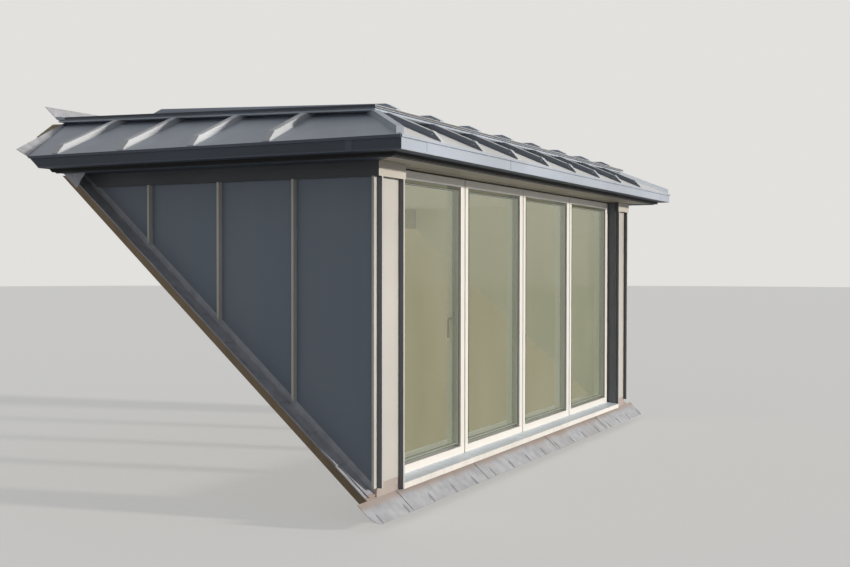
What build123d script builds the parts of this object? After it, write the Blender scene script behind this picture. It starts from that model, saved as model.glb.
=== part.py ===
from build123d import *
from math import atan, cos, degrees, radians, sin, sqrt, tan
import os

os.makedirs("parts", exist_ok=True)

# Dormer window that stands on the rafters of a pitched roof. X runs to the right along
# the window row, Y into the house, Z up. The sole of the timber frame lies in the plane
# of the rafters' tops, which passes through the origin and rises towards +Y.

# Main sizes, in millimetres and degrees
roof_pitch = 40.7            # pitch of the roof that the dormer stands on
roof_build_up = 85           # from the sole to the outer slope, square to it
cladding_gap = 38            # outer slope to the lower edge of the cheek cladding
sheet = 4                    # zinc with its underlay
lead = 3                     # lead flashing
cheek_thickness = 118        # studs and boarding of a cheek
lining = 15                  # plasterboard

# Window row
window_count = 4
window_width = 830           # one window with its share of the joints
window_height = 1471         # sill to soffit
window_drop = 3              # windows start this far below the foot of the cladding
window_setback = 57          # pilaster face back to the face of the sashes
sash_face = 57
sash_depth = 36
sash_joint = 12              # gap between neighbouring sashes
head_gap = 8                 # top of the sashes to the soffit
end_joint = 12               # window row to the pilaster
glass_unit = 28              # sealed double glazing
glass_recess = 8             # sash face back to the glass
frame_depth = 51
frame_face = 40              # fixed frame that shows inside round each window
joint_rib = 8                # rib of a post in the joint between two sashes
joint_rib_setback = 5

# Pilasters, frieze and standing seams
pilaster_width = 220
panel_lift = 20              # foot of the pilaster sheet above the foot of the seams
seam_height = 25
seam_pitch = 430
seam_lock_width = 12
seam_lock_depth = 11
seam_web = 5
frieze_height = 66
frieze_return = 11           # frieze beyond the pilaster over the window

# Sill
sill_lip = 28                # height of the folded front edge
sill_fall = 6

# Eaves, from the cladding outwards
overhang = 269
fascia_height = 65
fascia_lift = 18             # underside of the fascia above the soffit
fascia_return = 72           # width of the flat strip under the fascia
soffit_reach = 176
drip = 7                     # lower edge of the skirt beyond the fascia
skirt_run = 346              # in plan, from the fascia in under the top roof
skirt_rise = 150
roll_width = 40
roll_height = 31
roll_nose = 60               # length of the tapered end of a roll
roll_tip = 5
side_roll_first = 412
side_roll_pitch = 421
front_roll_first = 119
front_roll_pitch = 451
hip_roll_width = 32
hip_roll_height = 27
hip_roll_setback = 30        # end of a hip roll from the corner of the drip

# Top roof
top_fall = 2.5               # degrees, down towards the front
top_overhang = 65            # edge of the top roof beyond the head of the skirt
top_lower_edge = 7
top_shadow_gap = 7
top_upper_edge = 13
top_gap_depth = 11
top_roll_first = 224
top_roll_pitch = 461
short_roll_end = 1390        # a roll that the narrowing sides would cut ends here

# Inside
trimmer_width = 100
trimmer_inset = 100          # trimmer in from the end of the cheek
board_thickness = 18

# Flashings
apron_length = 125           # down the outer slope
apron_overlap = 170          # beyond each cheek
apron_corner = 60            # radius of the dressed corners
soaker_width = 85
valley_width = 60
valley_tip = 12
back_flashing_length = 95
flashing_tail = 60           # part of the rear flashing on the top roof

# Handle
handle_height = 722          # above the bottom of the window
handle_plate = (20, 66, 6)
handle_neck = 34
handle_lever = 103
handle_bar = 11

# Worked out from the sizes above
slope = tan(radians(roof_pitch))
window_row = window_count * window_width
dormer_width = window_row + 2 * (end_joint + pilaster_width)
half_width = dormer_width / 2
front_depth = window_setback - sheet + sash_depth + frame_depth
front_face = -front_depth / 2
back_face = front_depth / 2
clad_front = front_face - sheet
far = 4000                   # longer than any run in the depth of the dormer
section_margin = 100         # the section of the side eaves starts this far in front of them


def height_over_sole(y, above):
    return y * slope + above / cos(radians(roof_pitch))


foot_level = height_over_sole(clad_front, roof_build_up + cladding_gap)
window_bottom = foot_level - window_drop
soffit_level = window_bottom + window_height
wall_top = soffit_level + sheet
frieze_bottom = soffit_level - frieze_height
fascia_bottom = soffit_level + fascia_lift
fascia_top = fascia_bottom + fascia_height
kerb_out = overhang - skirt_run
kerb_level = fascia_top + skirt_rise
kerb_side = half_width + kerb_out
kerb_front = clad_front - kerb_out
pilaster_inside = half_width - pilaster_width
post_inside = pilaster_inside + sheet
sash_front = clad_front + window_setback
sash_back = sash_front + sash_depth
sash_height = window_height - head_gap
top_thickness = top_lower_edge + top_shadow_gap + top_upper_edge
top_rise = tan(radians(top_fall))
skirt_fall = skirt_rise / skirt_run
skirt_angle = degrees(atan(skirt_fall))
skirt_drop = sheet / cos(radians(skirt_angle))
narrowing = top_rise / skirt_fall    # of each side of the top roof, per run towards the rear
slates_rise = roof_build_up / cos(radians(roof_pitch))

sole = Plane(
    origin=(0, 0, 0), x_dir=(1, 0, 0),
    z_dir=(0, -sin(radians(roof_pitch)), cos(radians(roof_pitch))),
)
slates = sole.offset(roof_build_up)
clad_foot = sole.offset(roof_build_up + cladding_gap)
top_plane = Plane(
    origin=(0, kerb_front, kerb_level),
    x_dir=(1, 0, 0),
    z_dir=(0, -sin(radians(top_fall)), cos(radians(top_fall))),
)
left_hip = Plane(origin=(-half_width, clad_front, 0), x_dir=(0, 0, 1), z_dir=(-1, 1, 0))
right_hip = Plane(origin=(half_width, clad_front, 0), x_dir=(0, 0, 1), z_dir=(1, 1, 0))
side_section = Plane(
    origin=(0, clad_front - overhang - section_margin, 0), x_dir=(1, 0, 0), z_dir=(0, -1, 0),
)

# Undersides of the three skirts
under_front_skirt = Plane(
    origin=(0, kerb_front, kerb_level - skirt_drop), x_dir=(1, 0, 0), z_dir=(0, -skirt_fall, 1))
under_left_skirt = Plane(
    origin=(-kerb_side, kerb_front, kerb_level - skirt_drop), x_dir=(0, 1, 0), z_dir=(-skirt_fall, 0, 1))
under_right_skirt = Plane(
    origin=(kerb_side, kerb_front, kerb_level - skirt_drop), x_dir=(0, 1, 0), z_dir=(skirt_fall, 0, 1))


def write(piece, name):
    piece.part.label = name
    export_step(piece.part, f"parts/{name}.step")


def mirrored(piece):
    with BuildPart() as twin:
        mirror(piece.part, about=Plane.YZ)
    return twin


def slab(x0, x1, y0, y1, z0, z1):
    """Upright block between two corners."""
    with BuildPart() as block:
        with BuildSketch(Plane.XY.offset(z0)):
            with Locations(((x0 + x1) / 2, (y0 + y1) / 2)):
                Rectangle(x1 - x0, y1 - y0)
        extrude(amount=z1 - z0)
    return block


def left_eave(profile):
    """Section given as (distance out, height), run along the left eave to the slates."""
    with BuildPart() as run:
        with BuildSketch(side_section):
            with BuildLine():
                Polyline([(-half_width - out, z) for out, z in profile], close=True)
            make_face()
        extrude(amount=-far)
        split(bisect_by=left_hip, keep=Keep.TOP)
        split(bisect_by=slates, keep=Keep.TOP)
    return run


def front_eave(profile):
    """The same section run along the front, mitred at both corners."""
    with BuildPart() as run:
        with BuildSketch(Plane.YZ):
            with BuildLine():
                Polyline([(clad_front - out, z) for out, z in profile], close=True)
            make_face()
        extrude(amount=far, both=True)
        split(bisect_by=left_hip, keep=Keep.BOTTOM)
        split(bisect_by=right_hip, keep=Keep.BOTTOM)
    return run


# Timber frame: the cheeks are triangles that stand on the sloping sole
wall_outside = half_width - sheet
wall_inside = wall_outside - cheek_thickness
with BuildPart() as left_cheek_wall:
    with BuildSketch(Plane.YZ.offset(-wall_outside)):
        with BuildLine():
            Polyline([
                (front_face, height_over_sole(front_face, 0)),
                (wall_top / slope, wall_top),
                (front_face, wall_top),
            ], close=True)
        make_face()
    extrude(amount=cheek_thickness)
right_cheek_wall = mirrored(left_cheek_wall)

# Corner posts at each end of the window row
with BuildPart() as left_corner_post:
    with BuildSketch(Plane.YZ.offset(-wall_inside)):
        with BuildLine():
            Polyline([
                (front_face, height_over_sole(front_face, 0)),
                (back_face, height_over_sole(back_face, 0)),
                (back_face, wall_top),
                (front_face, wall_top),
            ], close=True)
        make_face()
    extrude(amount=wall_inside - post_inside)
right_corner_post = mirrored(left_corner_post)

# Beam under the windows, bevelled under the sill and along the sole
sill_seat = window_bottom - sheet
with BuildPart() as front_upstand:
    with BuildSketch(Plane.YZ):
        with BuildLine():
            Polyline([
                (front_face, height_over_sole(front_face, 0)),
                (back_face, height_over_sole(back_face, 0)),
                (back_face, window_bottom),
                (sash_front, window_bottom),
                (sash_front, sill_seat),
                (front_face, sill_seat - sill_fall),
            ], close=True)
        make_face()
    extrude(amount=post_inside, both=True)

# Lintel over the windows, up to the deck of the top roof
with BuildPart() as front_lintel:
    with BuildSketch(Plane.XY.offset(wall_top)):
        with Locations((0, (kerb_front + back_face) / 2)):
            Rectangle(2 * kerb_side, back_face - kerb_front)
    extrude(amount=far)
    split(bisect_by=top_plane, keep=Keep.BOTTOM)
    split(bisect_by=under_front_skirt, keep=Keep.BOTTOM)
    split(bisect_by=under_left_skirt, keep=Keep.BOTTOM)
    split(bisect_by=under_right_skirt, keep=Keep.BOTTOM)

# Joisted top roof behind the lintel, solid, dying into the rafters
with BuildPart() as roof_deck:
    with BuildSketch(Plane.XY.offset(wall_top)):
        with Locations((0, back_face + far / 2)):
            Rectangle(2 * kerb_side, far)
    extrude(amount=far)
    split(bisect_by=top_plane, keep=Keep.BOTTOM)
    split(bisect_by=under_left_skirt, keep=Keep.BOTTOM)
    split(bisect_by=under_right_skirt, keep=Keep.BOTTOM)
    split(bisect_by=sole, keep=Keep.TOP)

# Trimmer that carries the rear of the roof and the ceiling
trimmer_back = wall_top / slope - trimmer_inset
trimmer_front = trimmer_back - trimmer_width
with BuildPart() as rear_trimmer:
    with BuildSketch(Plane.YZ):
        with BuildLine():
            Polyline([
                (trimmer_front, height_over_sole(trimmer_front, 0)),
                (trimmer_back, height_over_sole(trimmer_back, 0)),
                (trimmer_back, wall_top),
                (trimmer_front, wall_top),
            ], close=True)
        make_face()
    extrude(amount=wall_inside, both=True)

# Boxed eaves between the soffit, the fascia and the skirt
def skirt_height(out):
    return kerb_level - (out - kerb_out) * skirt_fall


fascia_inside = overhang - sheet
eaves_profile = [
    (-sheet, wall_top),
    (overhang - fascia_return, wall_top),
    (overhang - fascia_return, fascia_bottom + sheet),
    (fascia_inside, fascia_bottom + sheet),
    (fascia_inside, skirt_height(fascia_inside) - skirt_drop),
    (kerb_out, kerb_level - skirt_drop),
    (kerb_out, wall_top),
]
left_eaves_box = left_eave(eaves_profile)
right_eaves_box = mirrored(left_eaves_box)
front_eaves_box = front_eave(eaves_profile)

# Soffits
left_soffit = left_eave([
    (-sheet, soffit_level), (soffit_reach, soffit_level), (soffit_reach, wall_top), (-sheet, wall_top),
])
right_soffit = mirrored(left_soffit)
with BuildPart() as front_soffit:
    with BuildSketch(Plane.XY.offset(soffit_level)):
        with BuildLine():
            Polyline([
                (-half_width - soffit_reach, clad_front - soffit_reach),
                (half_width + soffit_reach, clad_front - soffit_reach),
                (wall_outside, front_face),
                (post_inside, front_face),
                (post_inside, sash_back),
                (-post_inside, sash_back),
                (-post_inside, front_face),
                (-wall_outside, front_face),
            ], close=True)
        make_face()
    extrude(amount=sheet)

# Fascias, folded under as a flat strip
fascia_edge = skirt_height(overhang) - skirt_drop
fascia_profile = [
    (overhang - fascia_return, fascia_bottom),
    (overhang, fascia_bottom),
    (overhang, fascia_edge),
    (fascia_inside, fascia_edge),
    (fascia_inside, fascia_bottom + sheet),
    (overhang - fascia_return, fascia_bottom + sheet),
]
left_fascia = left_eave(fascia_profile)
right_fascia = mirrored(left_fascia)
front_fascia = front_eave(fascia_profile)

# Skirt of sloping zinc from the drip over the fascia up to the kerb of the top roof
drip_out = overhang + drip
drip_bottom = skirt_height(drip_out) - skirt_drop - drip
skirt_head = -half_width / 2     # inward of every line where a skirt meets the top roof
skirt_profile = [
    (skirt_head, skirt_height(skirt_head) - skirt_drop),
    (skirt_head, skirt_height(skirt_head)),
    (drip_out, skirt_height(drip_out)),
    (drip_out, drip_bottom),
    (overhang, drip_bottom),
    (overhang, fascia_edge),
]
front_run = front_eave(skirt_profile)
with BuildPart() as front_skirt:
    add(front_run.part)
    split(bisect_by=top_plane, keep=Keep.BOTTOM)
side_run = left_eave(skirt_profile)
with BuildPart() as left_skirt:
    add(side_run.part)
    split(bisect_by=top_plane, keep=Keep.BOTTOM)
right_skirt = mirrored(left_skirt)

# One batten roll, lying down the slope along X with its nose at the far end
roll_length = (drip_out - kerb_out) / cos(radians(skirt_angle)) - drip
with BuildPart() as skirt_roll:
    with BuildSketch(Plane.XZ):
        with BuildLine():
            Polyline([
                (skirt_head, 0), (roll_length, 0), (roll_length, roll_tip),
                (roll_length - roll_nose, roll_height), (skirt_head, roll_height),
            ], close=True)
        make_face()
    extrude(amount=roll_width / 2, both=True)
    fillet(skirt_roll.edges().filter_by(Axis.X).group_by(Axis.Z)[-1], radius=roll_width / 8)

# Batten rolls on the three skirts
down = (cos(radians(skirt_angle)), sin(radians(skirt_angle)))
left_rolls = [
    Plane(
        origin=(-kerb_side, clad_front + side_roll_first + count * side_roll_pitch, kerb_level),
        x_dir=(-down[0], 0, -down[1]),
        z_dir=(-down[1], 0, down[0]),
    )
    for count in range(int((fascia_bottom / slope - side_roll_first) // side_roll_pitch) + 1)
]
front_rolls = [
    Plane(
        origin=(-half_width + front_roll_first + count * front_roll_pitch, kerb_front, kerb_level),
        x_dir=(0, -down[0], -down[1]),
        z_dir=(0, -down[1], down[0]),
    )
    for count in range(int((dormer_width - front_roll_first) // front_roll_pitch))
]
with BuildPart() as side_rolls:
    with Locations(*left_rolls):
        add(skirt_roll.part)
    mirror(about=Plane.YZ)
with BuildPart() as skirt_rolls:
    add(side_rolls.part)
    with Locations(*front_rolls):
        add(skirt_roll.part)
    split(bisect_by=top_plane, keep=Keep.BOTTOM)

# Hip rolls sit astride the two mitred hips
massing_in = -half_width
massing_out = drip_out + sheet
massing_profile = [
    (massing_in, 0), (massing_in, skirt_height(massing_in)),
    (massing_out, skirt_height(massing_out)), (massing_out, 0),
]
with BuildPart() as corner_massing:
    with BuildSketch(side_section):
        with BuildLine():
            Polyline([(-half_width - out, z) for out, z in massing_profile], close=True)
        make_face()
    extrude(amount=-far)
    with BuildSketch(Plane.YZ):
        with BuildLine():
            Polyline([(clad_front - out, z) for out, z in massing_profile], close=True)
        make_face()
    extrude(amount=far, both=True, mode=Mode.INTERSECT)
hip_foot = (drip_out - kerb_out) * sqrt(2) - hip_roll_setback
hip_fall = skirt_fall / sqrt(2)
hip_section = Plane(origin=(-kerb_side, kerb_front, kerb_level), x_dir=(-1, -1, 0), z_dir=(-1, 1, 0))
with BuildPart() as left_hip_roll:
    with BuildSketch(hip_section):
        with BuildLine():
            Polyline([
                (0, -hip_roll_width),
                (hip_foot, -hip_roll_width - hip_foot * hip_fall),
                (hip_foot, hip_roll_height - hip_foot * hip_fall),
                (0, hip_roll_height),
            ], close=True)
        make_face()
    extrude(amount=hip_roll_width / 2, both=True)
    add(corner_massing.part, mode=Mode.SUBTRACT)
    split(bisect_by=top_plane, keep=Keep.BOTTOM)
with BuildPart() as hip_rolls:
    add(left_hip_roll.part)
    mirror(about=Plane.YZ)

# Top roof: two folded edges with a shadow gap between them, narrower towards the rear
def top_edge(along, reach):
    return kerb_side + reach - narrowing * along


with BuildPart() as top_roof:
    level = 0
    for thickness, reach in (
        (top_lower_edge, top_overhang),
        (top_shadow_gap, top_overhang - top_gap_depth),
        (top_upper_edge, top_overhang),
    ):
        with BuildSketch(top_plane.offset(level)):
            with BuildLine():
                side = Polyline(
                    (0, -reach),
                    (-top_edge(-reach, reach), -reach),
                    (-top_edge(far, reach), far),
                    (0, far),
                )
                mirror(side, about=Plane.YZ)
            make_face()
        extrude(amount=thickness)
        level += thickness
    split(bisect_by=slates, keep=Keep.TOP)

# Line where the top of the roof meets the outer slope
top_at_kerb = kerb_level + top_thickness / cos(radians(top_fall))
meet_y = (top_at_kerb - top_rise * kerb_front - slates_rise) / (slope - top_rise)
meet_half_width = top_edge(meet_y - kerb_front, top_overhang)

# Batten rolls on the top roof, from the front edge back to the flashing. The rear end of
# one that the narrowing sides would cut is sloped.
full_roll_end = (meet_y - flashing_tail - kerb_front) / cos(radians(top_fall)) - flashing_tail / 4
top_surface = top_plane.offset(top_thickness)
roll_places = [
    -half_width + top_roll_first + count * top_roll_pitch
    for count in range(int((dormer_width - top_roll_first) // top_roll_pitch) + 1)
]
with BuildPart() as top_roof_rolls:
    for roll_end, end_nose, places in (
        (full_roll_end, 0, [x for x in roll_places if abs(x) + roll_width < meet_half_width]),
        (short_roll_end, roll_nose, [x for x in roll_places if abs(x) + roll_width >= meet_half_width]),
    ):
        with BuildPart(mode=Mode.PRIVATE) as top_roll:
            with BuildSketch(Plane.YZ):
                with BuildLine():
                    Polyline([
                        (-top_overhang, 0), (roll_end, 0), (roll_end, roll_tip),
                        (roll_end - end_nose, roll_height),
                        (roll_nose - top_overhang, roll_height), (-top_overhang, roll_tip),
                    ], close=True)
                make_face()
            extrude(amount=roll_width / 2, both=True)
            fillet(top_roll.edges().filter_by(Axis.Y).group_by(Axis.Z)[-1], radius=roll_width / 8)
        with Locations(*[top_surface * Location((x, 0, 0)) for x in places]):
            add(top_roll.part)

# Zinc on the cheeks: one folded skin with standing seams, cut to the outer slope
seam_count = int((frieze_bottom - foot_level) / slope // seam_pitch) + 1
with BuildPart() as left_cheek_cladding:
    with BuildSketch(Plane.XY):
        with Locations((-half_width + sheet / 2, clad_front + far / 2)):
            Rectangle(sheet, far)
        for count in range(seam_count):
            seam_y = clad_front + count * seam_pitch
            with Locations((-half_width - seam_height / 2, seam_y + seam_web / 2)):
                Rectangle(seam_height, seam_web)
            with Locations((-half_width - seam_height + seam_lock_depth / 2, seam_y + seam_lock_width / 2)):
                Rectangle(seam_lock_depth, seam_lock_width)
    extrude(amount=frieze_bottom)
    split(bisect_by=clad_foot, keep=Keep.TOP)
right_cheek_cladding = mirrored(left_cheek_cladding)

# Pilasters: a sheet between two standing seams, and the reveal back to the window
sill_level = window_bottom - sill_fall * (sash_front - clad_front + seam_height) / (sash_front - front_face)
with BuildPart() as left_pilaster:
    with BuildSketch(Plane.XY.offset(foot_level + panel_lift)):
        with Locations((-(wall_outside + pilaster_inside) / 2, clad_front + sheet / 2)):
            Rectangle(wall_outside - pilaster_inside, sheet)
    extrude(amount=frieze_bottom - foot_level - panel_lift)
    for web_x, toward, seam_foot in (
        (-wall_outside, 1, foot_level),
        (-pilaster_inside - seam_lock_width, 1, sill_level - sill_lip),
    ):
        with BuildSketch(Plane.XY.offset(seam_foot)):
            with Locations((web_x + toward * seam_web / 2, clad_front - seam_height / 2)):
                Rectangle(seam_web, seam_height)
            with Locations((
                web_x + toward * seam_lock_width / 2, clad_front - seam_height + seam_lock_depth / 2,
            )):
                Rectangle(seam_lock_width, seam_lock_depth)
        extrude(amount=frieze_bottom - seam_foot)
    with BuildSketch(Plane.XY.offset(sill_seat)):
        with Locations((-(post_inside + pilaster_inside) / 2, (front_face + sash_front) / 2)):
            Rectangle(post_inside - pilaster_inside, sash_front - front_face)
    extrude(amount=soffit_level - sill_seat)
right_pilaster = mirrored(left_pilaster)

# Frieze under the soffit, along the cheeks and round onto the pilasters
frieze_out = half_width + seam_height
frieze_front = clad_front - seam_height
with BuildPart() as frieze_bands:
    with BuildSketch(Plane.XY.offset(frieze_bottom)):
        with BuildLine():
            Polyline([
                (-frieze_out, frieze_front),
                (-pilaster_inside + frieze_return, frieze_front),
                (-pilaster_inside + frieze_return, front_face),
                (-wall_outside, front_face),
                (-wall_outside, far),
                (-frieze_out, far),
            ], close=True)
        make_face()
    extrude(amount=frieze_height)
    split(bisect_by=clad_foot, keep=Keep.TOP)
    mirror(about=Plane.YZ)


# Sill between the pilasters, with a folded front edge
def sill_height(y):
    return window_bottom - sill_fall * (sash_front - y) / (sash_front - front_face)


with BuildPart() as window_sill:
    with BuildSketch(Plane.YZ):
        with BuildLine():
            Polyline([
                (sash_front, window_bottom),
                (frieze_front, sill_height(frieze_front)),
                (frieze_front, sill_level - sill_lip),
                (frieze_front + sheet, sill_level - sill_lip),
                (frieze_front + sheet, sill_height(frieze_front + sheet) - sheet),
                (sash_front, sill_seat),
            ], close=True)
        make_face()
    extrude(amount=pilaster_inside, both=True)

# Fixed window frame: head, bottom rail and posts
frame_ends = [(x - half, x + half) for x, half in [
    (-window_row / 2 + count * window_width, frame_face) for count in range(1, window_count)
]]
frame_ends = [(-post_inside, frame_face - window_row / 2)] + frame_ends
frame_ends = frame_ends + [(window_row / 2 - frame_face, post_inside)]
window_head = slab(-post_inside, post_inside, sash_back, back_face, soffit_level - frame_face, wall_top)
window_bottom_rail = slab(
    -post_inside, post_inside, sash_back, back_face, window_bottom, window_bottom + frame_face,
)
with BuildPart() as window_posts:
    with BuildSketch(Plane.XY.offset(window_bottom + frame_face)):
        for x0, x1 in frame_ends:
            with Locations(((x0 + x1) / 2, (sash_back + back_face) / 2)):
                Rectangle(x1 - x0, frame_depth)
    extrude(amount=window_height - 2 * frame_face)
    with BuildSketch(Plane.XY.offset(window_bottom)):
        with Locations((0, (sash_front + joint_rib_setback + sash_back) / 2)):
            with GridLocations(window_width, 1, window_count - 1, 1):
                Rectangle(joint_rib, sash_depth - joint_rib_setback)
    extrude(amount=sash_height)

# Sashes and their sealed glass
sash_width = window_width - sash_joint
sash_centre_z = window_bottom + sash_height / 2
sash_plane = Plane(origin=(0, sash_back, sash_centre_z), x_dir=(1, 0, 0), z_dir=(0, -1, 0))
sashes = []
for count in range(window_count):
    sash_x = -window_row / 2 + (count + 0.5) * window_width
    with BuildPart() as sash:
        with BuildSketch(sash_plane):
            with Locations((sash_x, 0)):
                Rectangle(sash_width, sash_height)
                Rectangle(sash_width - 2 * sash_face, sash_height - 2 * sash_face, mode=Mode.SUBTRACT)
        extrude(amount=sash_depth)
    sashes.append(sash)
glass_plane = sash_plane.offset(sash_depth - glass_recess - glass_unit)
with BuildPart() as window_glass:
    with BuildSketch(glass_plane):
        with GridLocations(window_width, 1, window_count, 1):
            Rectangle(sash_width - 2 * sash_face, sash_height - 2 * sash_face)
    extrude(amount=glass_unit)

# Lever handle inside the first sash, on the stile beside its post
handle_x = -window_row / 2 + window_width - (frame_face + sash_joint / 2 + sash_face) / 2
handle_z = window_bottom + handle_height
lever_y = sash_back + handle_plate[2] + handle_neck
with BuildPart() as window_handle:
    with Locations((handle_x, sash_back + handle_plate[2] / 2, handle_z)):
        Box(handle_plate[0], handle_plate[2], handle_plate[1])
    with BuildLine():
        FilletPolyline([
            (handle_x, sash_back + handle_plate[2], handle_z),
            (handle_x, lever_y, handle_z),
            (handle_x, lever_y, handle_z - handle_lever),
        ], radius=handle_bar)
    with BuildSketch(Plane(origin=(handle_x, sash_back + handle_plate[2], handle_z), z_dir=(0, 1, 0))):
        Circle(handle_bar / 2)
    sweep()

# Window board inside, and the plasterboard of cheeks and ceiling
room_half = wall_inside - lining
with BuildPart() as window_board:
    with BuildSketch(Plane.XY.offset(window_bottom + frame_face - board_thickness)):
        with Locations((0, back_face + far / 2)):
            Rectangle(2 * room_half, far)
    extrude(amount=board_thickness)
    split(bisect_by=sole, keep=Keep.TOP)
ceiling_level = wall_top - lining
with BuildPart() as left_cheek_lining:
    with BuildSketch(Plane.YZ.offset(-wall_inside)):
        with BuildLine():
            Polyline([
                (back_face, height_over_sole(back_face, 0)),
                (trimmer_front, height_over_sole(trimmer_front, 0)),
                (trimmer_front, ceiling_level),
                (back_face, ceiling_level),
            ], close=True)
        make_face()
    extrude(amount=lining)
right_cheek_lining = mirrored(left_cheek_lining)
ceiling_lining = slab(-wall_inside, wall_inside, back_face, trimmer_front, ceiling_level, wall_top)

# Distance up the outer slope, in its own plane, of a point at this height
def up_the_slates(z):
    return (z - roof_build_up * cos(radians(roof_pitch))) / sin(radians(roof_pitch))


# Lead apron, dressed down the outer slope below the sill
lead_rise = lead / cos(radians(roof_pitch))
apron_head = up_the_slates(height_over_sole(front_face, roof_build_up))
with BuildPart() as lead_apron:
    with BuildSketch(slates) as apron_shape:
        with Locations((0, apron_head - apron_length / 2)):
            Rectangle(2 * (half_width + apron_overlap), apron_length)
        fillet(apron_shape.vertices().group_by(Axis.Y)[0], radius=apron_corner)
    extrude(amount=lead)
    with BuildSketch(Plane.YZ):
        with BuildLine():
            Polyline([
                (front_face, height_over_sole(front_face, roof_build_up)),
                (front_face, sill_height(front_face) - sheet),
                (front_face - lead, sill_height(front_face - lead) - sheet),
                (front_face - lead, height_over_sole(front_face - lead, roof_build_up)),
            ], close=True)
        make_face()
    extrude(amount=wall_outside, both=True)

# Lead soakers where the cheeks meet the outer slope
with BuildPart() as cheek_soakers:
    for out, width, rise in (
        (wall_outside + lead, lead, cladding_gap),
        (wall_outside + soaker_width, soaker_width, lead),
    ):
        with BuildSketch(Plane.YZ.offset(-out)):
            with BuildLine():
                Polyline([
                    (front_face, height_over_sole(front_face, roof_build_up)),
                    (far, height_over_sole(far, roof_build_up)),
                    (far, height_over_sole(far, roof_build_up + rise)),
                    (front_face, height_over_sole(front_face, roof_build_up + rise)),
                ], close=True)
            make_face()
        extrude(amount=width)
    split(bisect_by=Plane.XY.offset(soffit_level), keep=Keep.BOTTOM)
    mirror(about=Plane.YZ)


# Valley flashings on the outer slope beside the skirts
head_y = (kerb_level - top_rise * kerb_front - slates_rise) / (slope - top_rise)
valley_low = Vector(-half_width - drip_out, up_the_slates(skirt_height(drip_out)))
valley_high = Vector(
    -kerb_side + narrowing * (head_y - kerb_front),
    up_the_slates(height_over_sole(head_y, roof_build_up)),
)
valley_side = (valley_high - valley_low).normalized().rotate(Axis.Z, 90)
with BuildPart() as valley_flashings:
    with BuildSketch(slates):
        with BuildLine():
            Polyline([
                valley_low,
                valley_high,
                valley_high + valley_side * valley_tip,
                valley_low + valley_side * valley_width,
            ], close=True)
        make_face()
    extrude(amount=lead)
    add(left_skirt.part, mode=Mode.SUBTRACT)
    add(top_roof.part, mode=Mode.SUBTRACT)
    mirror(about=Plane.YZ)

# Flashing from the outer slope onto the rear of the top roof
meet_z = height_over_sole(meet_y, roof_build_up)
flashing_y = meet_y + back_flashing_length * cos(radians(roof_pitch))
with BuildPart() as back_flashing:
    with BuildSketch(Plane.YZ):
        with BuildLine():
            Polyline([
                (meet_y, meet_z),
                (flashing_y, height_over_sole(flashing_y, roof_build_up)),
                (flashing_y, height_over_sole(flashing_y, roof_build_up) + lead_rise),
                (meet_y, meet_z + lead_rise),
                (meet_y - flashing_tail, meet_z + lead_rise - flashing_tail * top_rise),
                (meet_y - flashing_tail, meet_z - flashing_tail * top_rise),
            ], close=True)
        make_face()
    extrude(amount=meet_half_width, both=True)

# Files, one for each piece
for number, sash in enumerate(sashes, start=1):
    write(sash, f"sash_{number}")
write(left_cheek_wall, "left_cheek_wall")
write(right_cheek_wall, "right_cheek_wall")
write(left_corner_post, "left_corner_post")
write(right_corner_post, "right_corner_post")
write(front_upstand, "front_upstand")
write(front_lintel, "front_lintel")
write(roof_deck, "roof_deck")
write(rear_trimmer, "rear_trimmer")
write(left_eaves_box, "left_eaves_box")
write(front_eaves_box, "front_eaves_box")
write(right_eaves_box, "right_eaves_box")
write(left_soffit, "left_soffit")
write(front_soffit, "front_soffit")
write(right_soffit, "right_soffit")
write(left_fascia, "left_fascia")
write(front_fascia, "front_fascia")
write(right_fascia, "right_fascia")
write(left_skirt, "left_skirt")
write(front_skirt, "front_skirt")
write(right_skirt, "right_skirt")
write(skirt_rolls, "skirt_rolls")
write(hip_rolls, "hip_rolls")
write(top_roof, "top_roof")
write(top_roof_rolls, "top_roof_rolls")
write(left_cheek_cladding, "left_cheek_cladding")
write(right_cheek_cladding, "right_cheek_cladding")
write(left_pilaster, "left_pilaster")
write(right_pilaster, "right_pilaster")
write(frieze_bands, "frieze_bands")
write(window_sill, "window_sill")
write(window_head, "window_head")
write(window_bottom_rail, "window_bottom_rail")
write(window_posts, "window_posts")
write(window_glass, "window_glass")
write(window_handle, "window_handle")
write(window_board, "window_board")
write(left_cheek_lining, "left_cheek_lining")
write(right_cheek_lining, "right_cheek_lining")
write(ceiling_lining, "ceiling_lining")
write(lead_apron, "lead_apron")
write(cheek_soakers, "cheek_soakers")
write(valley_flashings, "valley_flashings")
write(back_flashing, "back_flashing")
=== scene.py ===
from math import cos, exp, radians, sin, sqrt, tan

import bmesh
import bpy
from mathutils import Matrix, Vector, noise


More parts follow.
